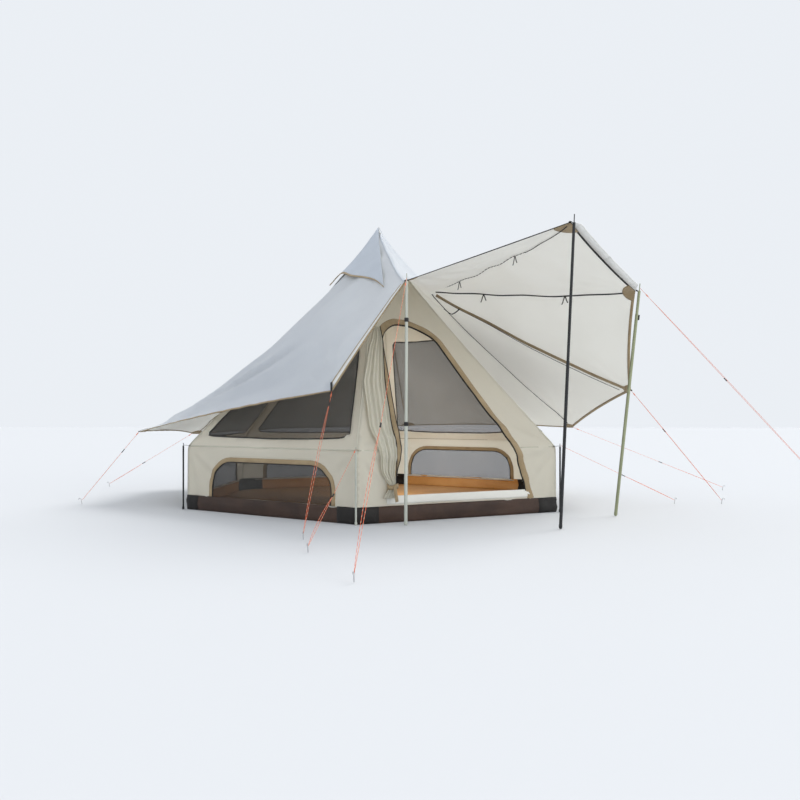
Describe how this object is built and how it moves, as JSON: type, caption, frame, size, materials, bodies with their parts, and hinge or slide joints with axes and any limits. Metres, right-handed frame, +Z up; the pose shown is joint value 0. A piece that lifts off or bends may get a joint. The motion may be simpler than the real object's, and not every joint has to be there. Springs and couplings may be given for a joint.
{
  "type": "bell tent",
  "caption": "Hexagonal bell tent with low walls, an arched door and mesh windows, under a wide canopy raised on poles as an awning",
  "frame": {"origin": "on the ground under the tent's centre pole", "axes": "+Z up, -Y towards the front corner of the hexagon, +X towards the side where the canopy is raised"},
  "size_m": [8.1771, 6.875, 2.8607],
  "materials": {
    "tub_fabric": "coated woven groundsheet cloth",
    "tent_canvas": "matt cotton-blend canvas",
    "canopy_canvas": "matt coated canvas",
    "mesh_fabric": "fine insect mesh",
    "trim_webbing": "tan binding tape",
    "black_steel": "black powder coat",
    "grey_aluminium": "satin anodised",
    "olive_aluminium": "satin anodised olive",
    "lock_plastic": "moulded black",
    "guyline_cord": "braided reflective cord",
    "peg_steel": "plain steel rod"
  },
  "bodies": {
    "tent": {"groundsheet": "tub_fabric", "wall_door": "tent_canvas", "roof_door": "tent_canvas", "wall_right": "tent_canvas", "roof_right": "tent_canvas", "wall_back_right": "tent_canvas", "roof_back_right": "tent_canvas", "wall_back_left": "tent_canvas", "roof_back_left": "tent_canvas", "wall_left": "tent_canvas", "roof_left": "tent_canvas", "wall_front_left": "tent_canvas", "roof_front_left": "tent_canvas", "canopy_awning_front": "canopy_canvas", "canopy_awning_side": "canopy_canvas", "canopy_side_wing": "canopy_canvas", "canopy_right_rear": "canopy_canvas", "canopy_rear": "canopy_canvas", "canopy_left_rear": "canopy_canvas", "canopy_left": "canopy_canvas", "canopy_front_left": "canopy_canvas", "canopy_crown": "canopy_canvas", "vent_hood": "canopy_canvas", "door_flap_roll": "tent_canvas", "centre_pole_lower": "black_steel", "centre_pole_upper": "black_steel", "eave_pole_1": "grey_aluminium", "eave_pole_2": "grey_aluminium", "eave_pole_3": "grey_aluminium", "eave_pole_4": "grey_aluminium", "eave_pole_5": "grey_aluminium", "eave_pole_6": "grey_aluminium", "front_pole_lower": "grey_aluminium", "front_pole_middle": "grey_aluminium", "tall_pole_lower": "black_steel", "side_pole_lower": "olive_aluminium", "front_pole_guy_line": "guyline_cord", "front_pole_guy_peg": "peg_steel", "side_pole_guy_line": "guyline_cord", "side_pole_guy_peg": "peg_steel", "side_wing_guy_line": "guyline_cord", "side_wing_guy_peg": "peg_steel", "right_rear_guy_line": "guyline_cord", "right_rear_guy_peg": "peg_steel", "left_rear_guy_line": "guyline_cord", "left_rear_guy_peg": "peg_steel", "left_guy_line": "guyline_cord", "left_guy_peg": "peg_steel", "front_left_guy_line": "guyline_cord", "front_left_guy_peg": "peg_steel", "front_eave_guy_line": "guyline_cord", "front_eave_guy_peg": "peg_steel", "right_eave_guy_line": "guyline_cord", "right_eave_guy_peg": "peg_steel"},
    "front_upper": {"front_pole_upper": "grey_aluminium"},
    "front_low_collar": {"front_pole_low_collar": "lock_plastic"},
    "front_high_collar": {"front_pole_high_collar": "lock_plastic"},
    "tall_upper": {"tall_pole_upper": "black_steel"},
    "side_upper": {"side_pole_upper": "olive_aluminium"},
    "side_lever": {"side_pole_lever": "lock_plastic"}
  },
  "joints": [
    {"name": "front_pole_slide", "type": "slide", "parent": "tent", "child": "front_upper", "axis": [0.0038, 0.0004, 1], "range_m": [-0.25, 0]},
    {"name": "tall_pole_slide", "type": "slide", "parent": "tent", "child": "tall_upper", "axis": [0.0424, -0.0104, 0.999], "range_m": [-0.6, 0]},
    {"name": "side_pole_slide", "type": "slide", "parent": "tent", "child": "side_upper", "axis": [0.1027, -0.0035, 0.9947], "range_m": [-0.15, 0]},
    {"name": "front_low_collar_twist", "type": "hinge", "parent": "tent", "child": "front_low_collar", "pos_m": [0.40413, -2.01569, 0.81999], "axis": [0.0038, 0.0004, 1], "range_deg": [0, 90]},
    {"name": "front_high_collar_twist", "type": "hinge", "parent": "tent", "child": "front_high_collar", "pos_m": [0.40735, -2.01536, 1.65999], "axis": [0.0038, 0.0004, 1], "range_deg": [0, 90]},
    {"name": "side_pole_lever_flip", "type": "hinge", "parent": "tent", "child": "side_lever", "pos_m": [2.41208, -1.30311, 1.72868], "axis": [0.0002, 1, 0.0035], "range_deg": [0, 110]}
  ]
}
